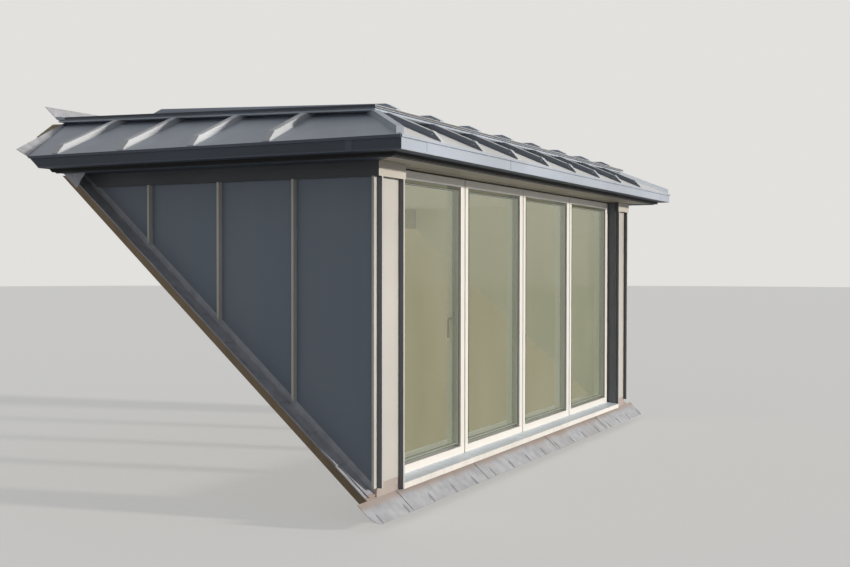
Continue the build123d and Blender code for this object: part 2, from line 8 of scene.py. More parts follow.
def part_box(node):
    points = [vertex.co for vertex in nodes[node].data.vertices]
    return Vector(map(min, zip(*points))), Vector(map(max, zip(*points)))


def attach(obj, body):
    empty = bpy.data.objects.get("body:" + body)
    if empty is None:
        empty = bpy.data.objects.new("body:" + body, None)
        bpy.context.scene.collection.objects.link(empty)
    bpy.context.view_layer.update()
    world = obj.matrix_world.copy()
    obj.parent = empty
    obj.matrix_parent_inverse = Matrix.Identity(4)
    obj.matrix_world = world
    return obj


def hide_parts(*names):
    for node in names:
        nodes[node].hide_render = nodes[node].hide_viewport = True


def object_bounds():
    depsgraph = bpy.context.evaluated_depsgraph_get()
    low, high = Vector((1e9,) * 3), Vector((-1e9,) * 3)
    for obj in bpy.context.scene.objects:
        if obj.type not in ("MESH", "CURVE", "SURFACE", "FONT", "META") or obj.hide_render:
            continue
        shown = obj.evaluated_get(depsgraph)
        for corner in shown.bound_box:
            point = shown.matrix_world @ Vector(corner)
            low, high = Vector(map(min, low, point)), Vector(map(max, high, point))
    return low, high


# Metres and degrees. X runs to the right along the windows, Y inwards, Z up.
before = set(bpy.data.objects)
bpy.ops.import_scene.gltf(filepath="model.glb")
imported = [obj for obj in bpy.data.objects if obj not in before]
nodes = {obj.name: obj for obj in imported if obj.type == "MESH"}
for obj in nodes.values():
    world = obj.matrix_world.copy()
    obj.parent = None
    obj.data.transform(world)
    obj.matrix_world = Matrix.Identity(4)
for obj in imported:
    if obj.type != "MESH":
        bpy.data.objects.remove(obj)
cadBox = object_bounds()
print("frame loaded:", len(nodes), "nodes")


# shading helpers
def rgb(red, green, blue):  # a colour as a paint program gives it
    channels = [value / 255 for value in (red, green, blue)]
    return [c / 12.92 if c <= 0.04045 else ((c + 0.055) / 1.055) ** 2.4 for c in channels] + [1.0]


def shade(colour, times=1.0, plus=0):  # the same colour, darker or paler
    return rgb(*[min(255, value * times + plus) for value in colour])


class Socket:
    def __init__(self, finish, socket):
        self.finish = finish
        self.socket = socket

    def maths(self, operation, *values):
        return self.finish.node("Math", {"operation": operation}, dict(enumerate(values)))

    def __add__(self, other):
        return self.maths("ADD", self, other)

    __radd__ = __add__

    def __mul__(self, other):
        return self.maths("MULTIPLY", self, other)

    __rmul__ = __mul__

    def __sub__(self, other):
        return self.maths("SUBTRACT", self, other)

    def __rsub__(self, other):
        return self.maths("SUBTRACT", other, self)

    def above(self, level, width):  # 0 below the level, 1 from the level plus the width
        return self.finish.node("MapRange", {"interpolation_type": "SMOOTHSTEP"},
                                {"Value": self, "From Min": level, "From Max": level + width})


class Finish:
    def __init__(self, name, library="materials"):  # the world's nodes are made the same way
        self.material = getattr(bpy.data, library).new(name)
        self.material.use_nodes = True
        self.tree = self.material.node_tree
        self.tree.nodes.clear()

    def node(self, kind, settings=None, values=None, out=0):
        made = self.tree.nodes.new("ShaderNode" + kind)
        for key, value in (settings or {}).items():
            setattr(made, key, value)
        for key, value in (values or {}).items():
            if isinstance(value, Socket):
                self.tree.links.new(value.socket, made.inputs[key])
            else:
                made.inputs[key].default_value = value
        return Socket(self, made.outputs[out] if made.outputs else None)

    def place(self, scale=(1, 1, 1)):
        return self.node("Mapping", {}, {"Vector": self.node("TexCoord", out="Object"), "Scale": scale})

    def noise(self, scale, stretch=(1, 1, 1), detail=4):
        return self.node("TexNoise", {}, {"Vector": self.place(stretch), "Scale": scale, "Detail": detail})

    def blend(self, factor, first, second):
        return self.node("Mix", {"data_type": "RGBA"}, {0: factor, 6: first, 7: second}, out=2)

    def axes(self):
        split = self.node("SeparateXYZ", {}, {0: self.node("TexCoord", out="Object")})
        outputs = split.socket.node.outputs
        return [Socket(self, outputs[axis]) for axis in "XYZ"]

    def surface(self, colour, roughness, height=None, depth=0.001, **settings):
        values = {"Base Color": colour, "Roughness": roughness, **settings}
        if height is not None:
            values["Normal"] = self.node("Bump", {}, {"Height": height, "Distance": depth, "Strength": 1.0})
        shader = self.node("BsdfPrincipled", {}, values)
        self.node("OutputMaterial", {}, {"Surface": shader})
        return self.material


def dress(material, *names):
    for name in names:
        for slot in nodes[name].material_slots:
            slot.material = material


# camera, floor and light
view = {"place": (-6.2177, -2.5200, 1.0983), "turn": (89.0950, -0.0661, -63.0075),
        "lens": 46.8847, "sensor": 36}
camera = bpy.data.cameras.new("camera")
camera.lens = view["lens"]
camera.sensor_width = view["sensor"]
cameraObject = bpy.data.objects.new("camera", camera)
cameraObject.location = view["place"]
cameraObject.rotation_euler = [radians(angle) for angle in view["turn"]]
bpy.context.collection.objects.link(cameraObject)
bpy.context.scene.camera = cameraObject
bpy.context.scene.view_settings.view_transform = "Standard"

studio = {"floor": (226, 225, 222), "reach": 60, "sides": 96, "roughness": 0.9, "glow": 0.5,
          "air": (220, 226, 236), "ambient": 0.34, "room": (116, 108, 82), "panes": 1.5}


# 1 where the camera looks inwards through a pane, where the backdrop is painted shade as dim as a room
def throughPanes(finish, inward):
    direct = finish.node("LightPath", out="Is Camera Ray")
    layers = finish.node("LightPath", out="Transparent Depth")
    return direct * layers.above(studio["panes"], 0.1) * inward.above(0, 0.01)


floorFinish = Finish("pale floor")
matt = floorFinish.node("BsdfPrincipled", {}, {"Base Color": rgb(*studio["floor"]),
                                               "Roughness": studio["roughness"]})
paper = floorFinish.node("Emission", {}, {"Color": rgb(*studio["floor"])})
# the floor seen through the panes glows in the room colour as painted shade
paintedRoomShade = floorFinish.node("Emission", {}, {"Color": rgb(*studio["room"])})
direct = floorFinish.node("LightPath", out="Is Camera Ray")
plain = floorFinish.node("MixShader", {}, {0: direct * studio["glow"], 1: matt, 2: paper})
glazed = throughPanes(floorFinish, floorFinish.axes()[1])
lit = floorFinish.node("MixShader", {}, {0: glazed, 1: plain, 2: paintedRoomShade})
floorFinish.node("OutputMaterial", {}, {"Surface": lit})
bm = bmesh.new()
bmesh.ops.create_circle(bm, cap_ends=True, segments=studio["sides"], radius=studio["reach"])
bmesh.ops.translate(bm, verts=bm.verts, vec=(0, 0, cadBox[0][2]))
floorMesh = bpy.data.meshes.new("floor")
bm.to_mesh(floorMesh)
bm.free()
floorMesh.materials.append(floorFinish.material)
floor = bpy.data.objects.new("floor", floorMesh)
bpy.context.collection.objects.link(floor)

sky = Finish("studio", "worlds")
bpy.context.scene.world = sky.material
seen = sky.node("LightPath", out="Is Camera Ray")
mirrored = sky.node("LightPath", out="Is Glossy Ray")
passed = sky.node("LightPath", out="Is Transmission Ray")
shown = seen.maths("MAXIMUM", seen, mirrored.maths("MAXIMUM", mirrored, passed))
ambient = sky.node("Background", {}, {"Color": rgb(*studio["air"]), "Strength": studio["ambient"]})
backdrop = sky.node("Background", {}, {"Color": rgb(*studio["floor"])})
# the world seen through the panes shows the room colour as painted shade
roomShadeBackdrop = sky.node("Background", {}, {"Color": rgb(*studio["room"])})
plain = sky.node("MixShader", {}, {0: shown, 1: ambient, 2: backdrop})
inward = sky.node("SeparateXYZ", {}, {0: sky.node("TexCoord", out="Generated")}, out=1)
lit = sky.node("MixShader", {}, {0: throughPanes(sky, inward), 1: plain, 2: roomShadeBackdrop})
sky.node("OutputWorld", {}, {"Surface": lit})

key = {"towards": (0.235, -0.940, 0.185), "strength": 3.4, "size": 4, "colour": (255, 250, 243)}
lamp = bpy.data.lights.new("key", "SUN")
lamp.energy = key["strength"]
lamp.angle = radians(key["size"])
lamp.color = rgb(*key["colour"])[:3]
lampObject = bpy.data.objects.new("key", lamp)
lampObject.rotation_euler = Vector(key["towards"]).to_track_quat("Z", "Y").to_euler()
bpy.context.collection.objects.link(lampObject)
print("camera, floor and light set")


# finishes
# Run is small along the way the water runs, and wear is the strength of its streaks. Where given, sides is
# painted shade on the faces away from the front planes, which keep the colour as painted sunlight; rim is
# how far out from the middle the folds of the seams get a painted highlight; and the flank tone is painted
# shade on faces turned sideways.
def zinc(name, colour, run, wear, sides=None, planes=(), rim=None, flankShade=None, gloss=0.44):
    sheet = {"pale": 34, "dark": 0.8, "streaked": 0.72, "cloudy": 16, "front": 0.0008, "back": 0.0005,
             "edge": 0.0003, "highlightEdge": 0.0004, "sideways": 0.93, "turning": 0.03, "metal": 0.2}
    finish = Finish(name)
    clouds = finish.noise(scale=1.1, detail=3)
    streaks = finish.noise(scale=9, stretch=run, detail=5)
    grain = finish.noise(scale=420, stretch=(1, 1, 0.12), detail=2)
    pale = finish.blend(0.5, rgb(*colour), shade(colour, plus=sheet["pale"]))
    tone = finish.blend(clouds, shade(colour, sheet["dark"]), pale)
    # faces on the front planes keep the colour as painted sunlight, and every other face gets the sides
    # tone as painted shade
    if sides:
        middle, depth = finish.axes()[:2]
        litFaces = 0
        for y in planes:
            behindFront = depth.above(y - sheet["front"], sheet["edge"])
            litFaces = litFaces + behindFront * (1 - depth.above(y + sheet["back"], sheet["edge"]))
        # the outer folds of the seams get the front colour as a painted highlight
        if rim:
            litFaces = litFaces + middle.maths("ABSOLUTE", middle).above(rim, sheet["highlightEdge"])
        side = finish.blend(clouds, rgb(*sides), shade(sides, plus=sheet["cloudy"]))
        tone = finish.blend(litFaces, side, tone)
    # faces turned sideways get the flank tone as painted shade
    if flankShade:
        sideways = finish.node("SeparateXYZ", {}, {0: finish.node("NewGeometry", out="Normal")})
        flankInShade = sideways.maths("ABSOLUTE", sideways).above(sheet["sideways"], sheet["turning"])
        tone = finish.blend(flankInShade, tone, rgb(*flankShade))
    tone = finish.blend((streaks - 0.35) * wear, tone, shade(colour, sheet["streaked"]))
    rough = clouds * 0.12 + grain * 0.08 + gloss
    waves = finish.noise(scale=2.2, detail=1)
    return finish.surface(tone, rough, waves + grain * 0.02, depth=0.006, Metallic=sheet["metal"])


# standing seams, with the depth of the painted highlight on their outer folds, and how far the fascia's
# laps and its hook stand out
seam = {"height": 0.025, "centres": 0.43, "count": 4, "highlightDepth": 0.0012}
eavesTrim = {"lap": 0.0014, "hook": 0.001}
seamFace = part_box("left_pilaster")[0].y
seamEdges = [seamFace + seam["height"] + seam["centres"] * count for count in range(seam["count"])]
seamHighlightFrom = -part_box("left_cheek_cladding")[0].x - seam["highlightDepth"]
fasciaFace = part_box("front_fascia")[0].y
fasciaSunlitPlanes = (fasciaFace, fasciaFace - eavesTrim["lap"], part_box("front_skirt")[0].y - eavesTrim["hook"])
# cheeks: the warm colour on the seams' front faces and outer folds is painted sunlight and highlight, the
# bluish sides tone painted shade
zincCheek = zinc("pre-weathered zinc, cheeks", (202, 198, 190), run=(1, 1, 0.08), wear=0.4,
                 sides=(104, 114, 127), planes=seamEdges, rim=seamHighlightFrom)
# pilasters: the pale colour on the two front planes is painted sunlight, the sides tone on seam sides and
# reveals painted shade
zincFront = zinc("pre-weathered zinc, front", (192, 187, 180), run=(1, 1, 0.08), wear=0.3,
                 sides=(92, 96, 102), planes=(seamFace, seamFace + seam["height"]))
# frieze: the pale front is painted sunlight, the near-black sides tone painted shade under the eaves
zincFrieze = zinc("pre-weathered zinc, frieze", (192, 185, 174), run=(0.3, 0.3, 1), wear=0.3,
                  sides=(60, 63, 67), planes=(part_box("frieze_bands")[0].y,))
# front fascia: the pale colour on the fascia's face, laps and hook is painted sunlight, the sides tone
# elsewhere painted shade
zincEaves = zinc("pre-weathered zinc, front eaves", (168, 176, 188), run=(0.3, 0.3, 1), wear=0.4,
                 sides=(62, 70, 82), planes=fasciaSunlitPlanes)
zincSoffit = zinc("pre-weathered zinc, soffit", (166, 156, 140), run=(0.3, 0.3, 1), wear=0.4)
# side eaves: a copy of the eaves zinc painted dark as shade
zincVergeInShade = zinc("pre-weathered zinc, side eaves", (54, 62, 74), run=(0.3, 0.3, 1), wear=0.4)
zincRoof = zinc("rolled zinc, roof", (172, 180, 191), run=(1, 1, 0.2), wear=0.5)
# front skirt: a copy of the roof zinc painted paler as sunlight
zincFrontSkirtSunlit = zinc("rolled zinc, front skirt", (217, 217, 215), run=(1, 1, 0.2), wear=0.4)
# skirt rolls: painted paler than the roof zinc as sunlight, with painted shade on the flanks
zincRollSunlit = zinc("rolled zinc, skirt rolls", (200, 202, 205), run=(1, 1, 0.2), wear=0.4,
                flankShade=(104, 111, 122))
# sill: the cream on the front lip's plane is painted sunlight, the bluish sides tone on the top a painted
# sky reflection
zincSill = zinc("folded zinc, sill", (246, 238, 228), run=(3, 0.2, 1), wear=0.7,
                sides=(214, 224, 236), planes=(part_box("window_sill")[0].y,), gloss=0.34)
dress(zincCheek, "left_cheek_cladding", "right_cheek_cladding")
dress(zincFront, "left_pilaster", "right_pilaster")
dress(zincFrieze, "frieze_bands")
dress(zincEaves, "front_fascia")
dress(zincSoffit, "front_soffit")
dress(zincVergeInShade, "left_fascia", "right_fascia", "left_soffit", "right_soffit")
dress(zincRoof, "left_skirt", "right_skirt", "hip_rolls", "top_roof", "top_roof_rolls")
dress(zincRollSunlit, "skirt_rolls")
dress(zincFrontSkirtSunlit, "front_skirt")
dress(zincSill, "window_sill")


def sawnTimber(name, stretch):
    knot = {"scale": 2.6, "size": 0.02, "edge": 0.03}
    finish = Finish(name)
    rings = finish.noise(scale=14, stretch=stretch, detail=6)
    fibres = finish.noise(scale=160, stretch=stretch, detail=3)
    knots = finish.node("TexVoronoi", {}, {"Vector": finish.place(), "Scale": knot["scale"]})
    tone = finish.blend(rings, rgb(128, 108, 84), rgb(176, 156, 126))
    tone = finish.blend(fibres * 0.35, tone, rgb(104, 86, 66))
    tone = finish.blend(1 - knots.above(knot["size"], knot["edge"]), tone, rgb(78, 62, 48))
    return finish.surface(tone, fibres * 0.2 + 0.6, rings + fibres * 0.4, depth=0.0012)


timberAlong = sawnTimber("sawn timber, along the front", stretch=(0.06, 1, 1))
timberUp = sawnTimber("sawn timber, upright", stretch=(1, 1, 0.06))
timberBack = sawnTimber("sawn timber, front to back", stretch=(1, 0.06, 1))
dress(timberAlong, "front_upstand", "front_lintel", "rear_trimmer", "front_eaves_box")
dress(timberUp, "left_corner_post", "right_corner_post", "left_cheek_wall", "right_cheek_wall")
dress(timberBack, "left_eaves_box", "right_eaves_box")


# the solid deck shows joists with mineral wool between them, under plywood, where it is cut to the rafters
def deckSection():
    deck = {"every": 0.4, "joist": 0.045, "joistEdge": 0.004, "plywood": 0.055, "plywoodEdge": 0.0015,
            "fall": tan(radians(2.5)), "offset": 100.5}  # in bays, so that none is below 0
    finish = Finish("roof deck, joists and insulation")
    x, y, z = finish.axes()
    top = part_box("top_roof_rolls")[0]
    below = (y * deck["fall"] + (top.z - top.y * deck["fall"])) - z
    bays = x * (1 / deck["every"]) + deck["offset"]
    across = bays.maths("FRACT", bays)
    joist = 1 - across.above(deck["joist"] / deck["every"], deck["joistEdge"])
    plies = finish.noise(scale=90, stretch=(0.05, 0.05, 3), detail=2)
    fibres = finish.noise(scale=60, stretch=(0.35, 1, 1), detail=6)
    rings = finish.noise(scale=16, stretch=(1, 0.08, 1), detail=5)
    wool = finish.blend(fibres, rgb(128, 120, 92), rgb(196, 186, 148))
    wood = finish.blend(rings, rgb(128, 108, 84), rgb(182, 160, 128))
    plywood = finish.blend(plies, rgb(150, 122, 88), rgb(196, 170, 132))
    inPlywood = 1 - below.above(deck["plywood"], deck["plywoodEdge"])
    tone = finish.blend(inPlywood, finish.blend(joist, wool, wood), plywood)
    height = fibres * (1 - joist) * 3 + rings * 0.3
    return finish.surface(tone, fibres * 0.2 + 0.7, height, depth=0.004)


dress(deckSection(), "roof_deck")


def paint(name, colour, roughness, texture, depth):
    finish = Finish(name)
    stipple = finish.noise(texture, detail=3)
    patches = finish.noise(scale=2.5, detail=2)
    tone = finish.blend(patches * 0.5, rgb(*colour), shade(colour, 0.9))
    return finish.surface(tone, stipple * 0.12 + roughness, stipple, depth)


plaster = paint("painted plasterboard", (230, 226, 192), roughness=0.75, texture=220, depth=0.0006)
boardPaint = paint("painted window board", (232, 234, 222), roughness=0.35, texture=90, depth=0.0003)
framePaint = paint("painted joinery", (232, 238, 224), roughness=0.4, texture=130, depth=0.0003)
sashCoat = paint("coated aluminium, sashes", (222, 218, 211), roughness=0.38, texture=700, depth=0.0001)
leverMetal = paint("lever", (44, 46, 48), roughness=0.3, texture=600, depth=0.0001)
dress(plaster, "left_cheek_lining", "right_cheek_lining", "ceiling_lining")
dress(boardPaint, "window_board")
dress(framePaint, "window_head", "window_bottom_rail", "window_posts")
dress(sashCoat, "sash_1", "sash_2", "sash_3", "sash_4")
dress(leverMetal, "window_handle")


def dressedLead():
    # a brown band before and behind the fold under the sill
    brownBand = {"before": 0.030, "fade": 0.03, "behind": 0.012, "edge": 0.004, "ragged": 0.03}
    finish = Finish("dressed lead")
    mottle = finish.noise(scale=18, detail=6)
    patches = finish.noise(scale=3.2, detail=3)
    dents = finish.noise(scale=16, detail=2)
    tone = finish.blend(mottle, rgb(138, 140, 146), rgb(200, 201, 205))
    tone = finish.blend(patches.above(0.52, 0.2) * 0.35, tone, rgb(150, 146, 142))
    y = finish.axes()[1]
    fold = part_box("front_upstand")[0].y
    edge = y + patches * brownBand["ragged"]
    brown = edge.above(fold - brownBand["before"], brownBand["fade"])
    brown = brown * (1 - y.above(fold + brownBand["behind"], brownBand["edge"]))
    tone = finish.blend(brown * (mottle * 0.6 + 0.2), tone, rgb(158, 128, 98))
    return finish.surface(tone, mottle * 0.2 + 0.45, dents + mottle * 0.15, depth=0.003, Metallic=0.2)


leadFinish = dressedLead()
dress(leadFinish, "lead_apron", "cheek_soakers", "valley_flashings", "back_flashing")


def coatedGlass():  # each face of a pane holds back a little of the light
    glass = {"ior": 1.5, "gloss": 0.6, "bare": 0.05, "paleFrom": 0.75, "paleOver": 1.1, "pale": 0.5}
    finish = Finish("coated window glass")
    bloom = finish.noise(scale=5, stretch=(1, 1, 0.35), detail=6)
    inside = finish.node("NewGeometry", out="Backfacing")
    gloss = finish.node("Fresnel", {}, {"IOR": glass["ior"]}) * (1 - inside)
    # the olive veil is partly the glass's own tint and partly painted reflection, and it pales higher up as
    # painted reflection
    tone = finish.blend(bloom, rgb(168, 173, 142), rgb(212, 216, 192))
    paintedReflection = finish.axes()[2].above(glass["paleFrom"], glass["paleOver"]) * glass["pale"]
    tone = finish.blend(paintedReflection, tone, rgb(232, 236, 226))
    return finish.surface(tone, roughness=0.03, Alpha=gloss * glass["gloss"] + glass["bare"])


coated = coatedGlass()
rubber = paint("glazing gasket", (34, 35, 35), roughness=0.55, texture=300, depth=0.0002)
meshBlack = paint("insect mesh", (30, 29, 27), roughness=0.7, texture=900, depth=0.0006)
# a brown that is painted shadow, for the gap along the top roof's front edge
gapShadeBrown = paint("painted gap shade", (92, 86, 80), roughness=0.6, texture=400, depth=0.0003)
spacerMetal = paint("spacer bar", (188, 197, 190), roughness=0.4, texture=500, depth=0.0001)
print("finishes made")


# making pieces
def clamp(value):
    return max(0.0, min(1.0, value))


def vertsIn(geom):
    return [item for item in geom if isinstance(item, bmesh.types.BMVert)]


# closes a bmesh into an object that rides on the dormer, with its sharp edges eased
def finishPiece(bm, name, material, edge=0.0):
    easing = {"over": 35, "segments": 2}
    bmesh.ops.recalc_face_normals(bm, faces=bm.faces)
    if edge:
        corner = radians(easing["over"])
        sharpEdges = [e for e in bm.edges if len(e.link_faces) == 2 and e.calc_face_angle() > corner]
        bmesh.ops.bevel(bm, geom=sharpEdges, offset=edge, offset_type="OFFSET", affect="EDGES",
                        segments=easing["segments"], profile=0.5, material=-1, clamp_overlap=True)
    mesh = bpy.data.meshes.new(name)
    bm.to_mesh(mesh)
    bm.free()
    mesh.materials.append(material)
    piece = bpy.data.objects.new(name, mesh)
    bpy.context.collection.objects.link(piece)
    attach(piece, "root")
    return piece


def addBlock(bm, low, high):
    made = bmesh.ops.create_cube(bm, size=1)["verts"]
    low, high = Vector(low), Vector(high)
    bmesh.ops.scale(bm, verts=made, vec=high - low)
    bmesh.ops.translate(bm, verts=made, vec=(low + high) / 2)
    return made


# block left or right of the middle, between two distances from it; low and high are (y, z)
def addSideBlock(bm, side, near, far, low, high):
    left, right = sorted((side * near, side * far))
    addBlock(bm, (left, *low), (right, *high))


# mitred frame in an upright plane; rings are (width, how far that ring falls back)
def addFrame(bm, left, right, foot, head, front, back, rings):
    corners = ((left, foot), (right, foot), (right, head), (left, head))
    middle = bm.faces.new([bm.verts.new((x, front, z)) for x, z in corners])
    ring = []
    for width, fall in rings:
        middle.normal_update()
        made = bmesh.ops.inset_individual(bm, faces=[middle], thickness=width, depth=-fall)
        ring += made["faces"]
    bmesh.ops.delete(bm, geom=[middle], context="FACES_ONLY")
    grown = bmesh.ops.extrude_face_region(bm, geom=ring)["geom"]
    for vert in vertsIn(grown):
        vert.co.y = back


# sashes and glass
sashSizes = {"face": 0.045, "bead": 0.012, "beadFall": 0.003, "gasket": 0.003, "gasketOut": 0.002,
             "pane": 0.004, "spacer": 0.004, "innerSide": 0.019, "innerRail": 0.006, "innerOut": 0.0015}
glassLow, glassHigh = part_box("window_glass")
outerPane = glassLow.y + sashSizes["pane"]  # faces of the two panes towards the gap between them
innerPane = glassHigh.y - sashSizes["pane"]
rim = sashSizes["face"] + sashSizes["bead"]


# the seals inside, wider on the stiles than on the rails
def addInnerSeals(bm, left, right, foot, head):
    innerLeft = left + sashSizes["innerSide"]
    innerRight = right - sashSizes["innerSide"]
    front, back = glassHigh.y, glassHigh.y + sashSizes["innerOut"]
    addBlock(bm, (left, front, foot), (innerLeft, back, head))
    addBlock(bm, (innerRight, front, foot), (right, back, head))
    addBlock(bm, (innerLeft, front, foot), (innerRight, back, foot + sashSizes["innerRail"]))
    addBlock(bm, (innerLeft, front, head - sashSizes["innerRail"]), (innerRight, back, head))


panes = bmesh.new()
gaskets = bmesh.new()
spacers = bmesh.new()
for number in range(1, 5):
    low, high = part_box(f"sash_{number}")
    bm = bmesh.new()
    addFrame(bm, low.x, high.x, low.z, high.z, low.y, high.y,
             [(sashSizes["face"], 0), (sashSizes["bead"], sashSizes["beadFall"])])
    sash = finishPiece(bm, f"sashFrame{number}", sashCoat, edge=0.0012)
    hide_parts(f"sash_{number}")
    left, right, foot, head = low.x + rim, high.x - rim, low.z + rim, high.z - rim
    for near, far in ((glassLow.y, outerPane), (innerPane, glassHigh.y)):
        addBlock(panes, (left, near, foot), (right, far, head))
    addFrame(gaskets, left, right, foot, head, glassLow.y - sashSizes["gasketOut"], glassLow.y,
             [(sashSizes["gasket"], 0)])
    addInnerSeals(gaskets, left, right, foot, head)
    addFrame(spacers, left, right, foot, head, outerPane, innerPane, [(sashSizes["spacer"], 0)])
glazing = finishPiece(panes, "glassPanes", coated)
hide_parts("window_glass")
finishPiece(gaskets, "glazingGaskets", rubber, edge=0.0006)
finishPiece(spacers, "spacerBars", spacerMetal, edge=0.0008)
print("sashes and glass made")

# planes of the slope and the eaves, from the solids
pitch = radians(40.7)
buildUp = 0.085  # from the sole to the outer slope, square to it
slope = {"rise": tan(pitch), "base": buildUp / cos(pitch)}  # z = rise * y + base
cladSide = -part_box("left_cheek_cladding")[0].x - seam["height"]  # faces of the cladding
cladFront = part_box("left_pilaster")[0].y + seam["height"]
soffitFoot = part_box("front_soffit")[0].z
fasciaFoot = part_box("front_fascia")[0].z
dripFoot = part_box("front_skirt")[0].z
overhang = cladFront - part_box("front_fascia")[0].y
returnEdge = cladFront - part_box("front_fascia")[1].y  # inner edge of the strip under the fascia
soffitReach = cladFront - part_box("front_soffit")[0].y
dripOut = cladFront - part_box("front_skirt")[0].y


def onSlope(y, lift=0.0):
    return slope["rise"] * y + slope["base"] + lift / cos(pitch)


def offSlope(x, y, lift):  # a point lifted square off the slope
    return x, y - lift * sin(pitch), onSlope(y) + lift * cos(pitch)


def cutAtSlope(bm):  # takes away what is below the slope
    cut = bmesh.ops.bisect_plane(bm, geom=bm.verts[:] + bm.edges[:] + bm.faces[:], dist=1e-6,
                                 plane_co=(0, 0, onSlope(0)), plane_no=(0, -sin(pitch), cos(pitch)),
                                 clear_inner=True)
    rims = [item for item in cut["geom_cut"] if isinstance(item, bmesh.types.BMEdge)]
    bmesh.ops.holes_fill(bm, edges=rims, sides=0)


# folds, laps, joints and the air slot of the eaves
eaves = {"fold": 0.007, "foldOut": 0.0015, "lap": 0.034, "lapOut": 0.0012, "joint": 0.0022,
         "jointOut": 0.0006, "hookHead": 1.6463, "hookOut": 0.001, "hem": 0.004, "hemDrop": 0.003,
         "mesh": 0.0008, "meshFoot": 0.0025, "meshHead": 0.004, "rear": 3.0,
         "frontLaps": (-1.928, 1.899), "frontJoint": -0.982, "sideLap": -0.105,
         "soffitJoints": (((-1.945, -0.137), (-1.687, -0.133)), ((-1.66, -0.0765), (1.66, -0.0745)))}


# piece made of strips round the left, front and right eaves; a strip is (near, far, foot, head),
# in distances out from the cladding and in heights
def makeEavesRun(name, material, strips, edge=0.0):
    bm = bmesh.new()
    for near, far, foot, head in strips:
        for side in (-1, 1):
            addSideBlock(bm, side, cladSide + near, cladSide + far,
                         (cladFront - near, foot), (eaves["rear"], head))
        addBlock(bm, (-cladSide - far, cladFront - far, foot), (cladSide + far, cladFront - near, head))
    cutAtSlope(bm)
    finishPiece(bm, name, material, edge)


lapFoot = fasciaFoot + eaves["fold"]
hemFoot = soffitFoot - eaves["hemDrop"]
makeEavesRun("fasciaFolds", zincEaves,
             [(overhang, overhang + eaves["foldOut"], fasciaFoot, lapFoot)], edge=0.0005)
# the fascia's sheet is hooked over the edge of the skirt
makeEavesRun("fasciaHook", zincEaves,
             [(dripOut, dripOut + eaves["hookOut"], dripFoot, eaves["hookHead"])])
makeEavesRun("soffitFold", zincEaves,
             [(soffitReach - eaves["hem"], soffitReach, hemFoot, soffitFoot)], edge=0.0005)

bm = bmesh.new()
for x in eaves["frontLaps"]:
    addBlock(bm, (x, cladFront - overhang - eaves["lapOut"], lapFoot),
             (x + eaves["lap"], cladFront - overhang, dripFoot))
for side in (-1, 1):
    addSideBlock(bm, side, cladSide + overhang, cladSide + overhang + eaves["lapOut"],
                 (eaves["sideLap"], lapFoot), (eaves["sideLap"] + eaves["lap"], dripFoot))
finishPiece(bm, "fasciaLaps", zincEaves, edge=0.0003)

bm = bmesh.new()
addBlock(bm, (eaves["frontJoint"], cladFront - overhang - eaves["jointOut"], lapFoot),
         (eaves["frontJoint"] + eaves["joint"], cladFront - overhang, dripFoot))
for (left, front), (right, back) in eaves["soffitJoints"]:
    addBlock(bm, (left, front, soffitFoot - eaves["jointOut"]), (right, back, soffitFoot))
finishPiece(bm, "eavesJoints", rubber)

meshFoot = soffitFoot + eaves["meshFoot"]  # insect mesh in the air slot between soffit and fascia
meshHead = soffitFoot + eaves["meshHead"]
makeEavesRun("insectMesh", meshBlack,
             [(soffitReach, returnEdge + eaves["mesh"], meshFoot, meshHead),
              (returnEdge, returnEdge + eaves["mesh"], meshHead, fasciaFoot)])
print("eaves trim made")

# lead apron, in lapped lengths dressed down the slope; a wave is (along, down, seed, height)
apron = {"laps": (-1.712, -0.859, 0.200, 1.180), "lapWidth": 0.10, "lapEase": 0.6, "sheet": 0.0024,
         "corner": 0.06, "bed": 0.0046, "gap": 0.0004, "column": 0.003, "leastColumns": 12, "rows": 12,
         "waves": ((7, 18, 3.1, 0.0011), (34, 40, 8.2, 0.0005)),
         "creaseEvery": 0.25, "creaseShift": 0.03, "creaseSeed": (5.3, 0.7), "creaseLength": 0.062,
         "creaseFade": 0.02, "creaseHeight": 0.0045, "creaseWidth": 0.0045, "creaseLip": 1.2}
apronLow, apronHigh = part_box("lead_apron")
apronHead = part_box("front_upstand")[0].y
apronRun = (apronHead - apronLow.y) / cos(pitch)


def apronReach(x):  # length down the slope, less at the rounded ends
    into = apron["corner"] - (apronHigh.x - abs(x))
    if into <= 0:
        return apronRun
    return apronRun - apron["corner"] + sqrt(max(0.0, apron["corner"] ** 2 - into ** 2))


def apronLift(x, down, over):
    wave = sum(noise.noise(Vector((x * along, down * downwards, seed))) * height
               for along, downwards, seed, height in apron["waves"])
    nearest = round(x / apron["creaseEvery"]) * apron["creaseEvery"]
    stretch, row = apron["creaseSeed"]
    nearest += noise.noise(Vector((nearest * stretch, row, 0))) * apron["creaseShift"]
    off = (x - nearest) / apron["creaseWidth"]  # a groove with a lip on one side
    share = clamp((apron["creaseLength"] - (apronRun - down)) / apron["creaseFade"])
    crease = (exp(-(off - apron["creaseLip"]) ** 2) - exp(-off ** 2)) * share * apron["creaseHeight"]
    return apron["bed"] + wave + crease + over * (apron["sheet"] + apron["gap"])


